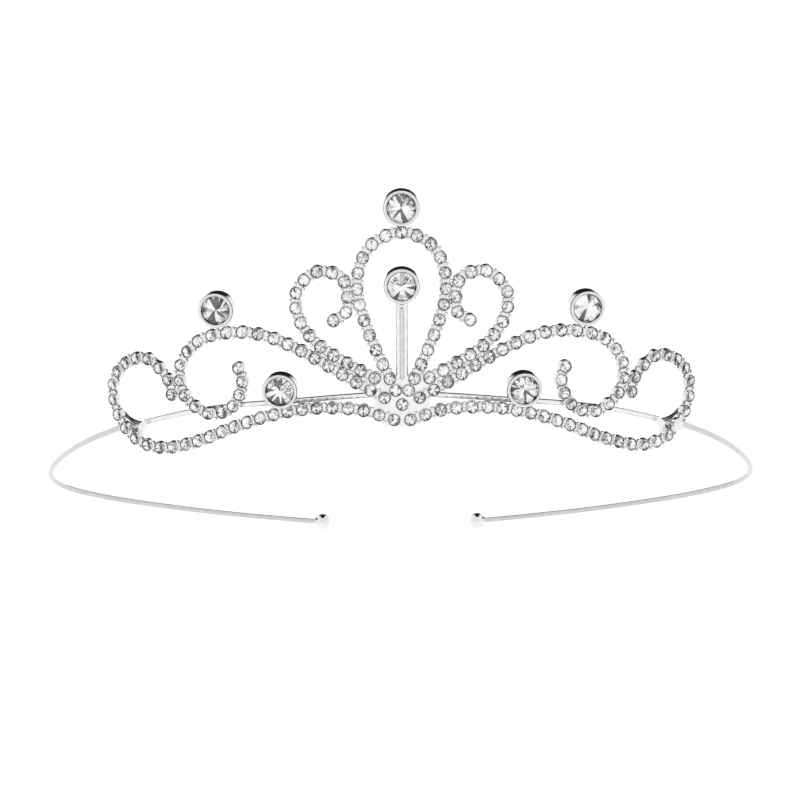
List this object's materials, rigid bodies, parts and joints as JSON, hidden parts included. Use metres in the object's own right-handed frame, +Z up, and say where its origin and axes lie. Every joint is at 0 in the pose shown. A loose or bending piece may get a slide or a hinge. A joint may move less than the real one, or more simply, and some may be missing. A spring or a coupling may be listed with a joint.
{
  "type": "bridal tiara",
  "caption": "Silver-plated scroll tiara set with round crystals, on a springy wire band with ball ends.",
  "frame": {"origin": "centre of the wearer's head in the plane of the wire band", "axes": "+Z up as worn, +X to the wearer's left, -Y towards the front"},
  "size_m": [0.1452, 0.1192, 0.094],
  "materials": {
    "cast_silver": "silver-plated casting, bright polished",
    "bezel_silver": "silver-plated turned cup, bright polished",
    "band_wire": "silver-plated spring wire, polished",
    "small_crystal": "clear cut glass with a foiled back",
    "large_crystal": "clear cut glass with a foiled back"
  },
  "bodies": {
    "ornament": {"teardrop_casting": "cast_silver", "teardrop_stones": "small_crystal", "left_inner_casting": "cast_silver", "left_inner_stones": "small_crystal", "left_outer_casting": "cast_silver", "left_outer_stones": "small_crystal", "left_base_casting": "cast_silver", "left_base_stones": "small_crystal", "right_inner_casting": "cast_silver", "right_inner_stones": "small_crystal", "right_outer_casting": "cast_silver", "right_outer_stones": "small_crystal", "right_base_casting": "cast_silver", "right_base_stones": "small_crystal", "left_upper_bezel": "bezel_silver", "left_upper_gem": "large_crystal", "left_lower_bezel": "bezel_silver", "left_lower_gem": "large_crystal", "right_upper_bezel": "bezel_silver", "right_upper_gem": "large_crystal", "right_lower_bezel": "bezel_silver", "right_lower_gem": "large_crystal", "top_bezel": "bezel_silver", "top_gem": "large_crystal", "centre_bezel": "bezel_silver", "centre_gem": "large_crystal", "junction_plate": "cast_silver", "centre_post": "cast_silver", "crossbar": "cast_silver", "left_solder_lug": "cast_silver", "right_solder_lug": "cast_silver"},
    "left_arm": {"left_band_wire": "band_wire", "left_end_ball": "band_wire"},
    "right_arm": {"right_band_wire": "band_wire", "right_end_ball": "band_wire"}
  },
  "joints": [
    {"name": "left_arm_flex", "type": "hinge", "parent": "ornament", "child": "left_arm", "pos_m": [0.0514, -0.0387, 0.0189], "axis": [0, -0.4384, -0.8988], "range_deg": [-4, 12], "stiffness_Nm_per_rad": 0.12},
    {"name": "right_arm_flex", "type": "hinge", "parent": "ornament", "child": "right_arm", "pos_m": [-0.0514, -0.0387, 0.0189], "axis": [0, 0.4384, 0.8988], "range_deg": [-4, 12], "stiffness_Nm_per_rad": 0.12}
  ]
}
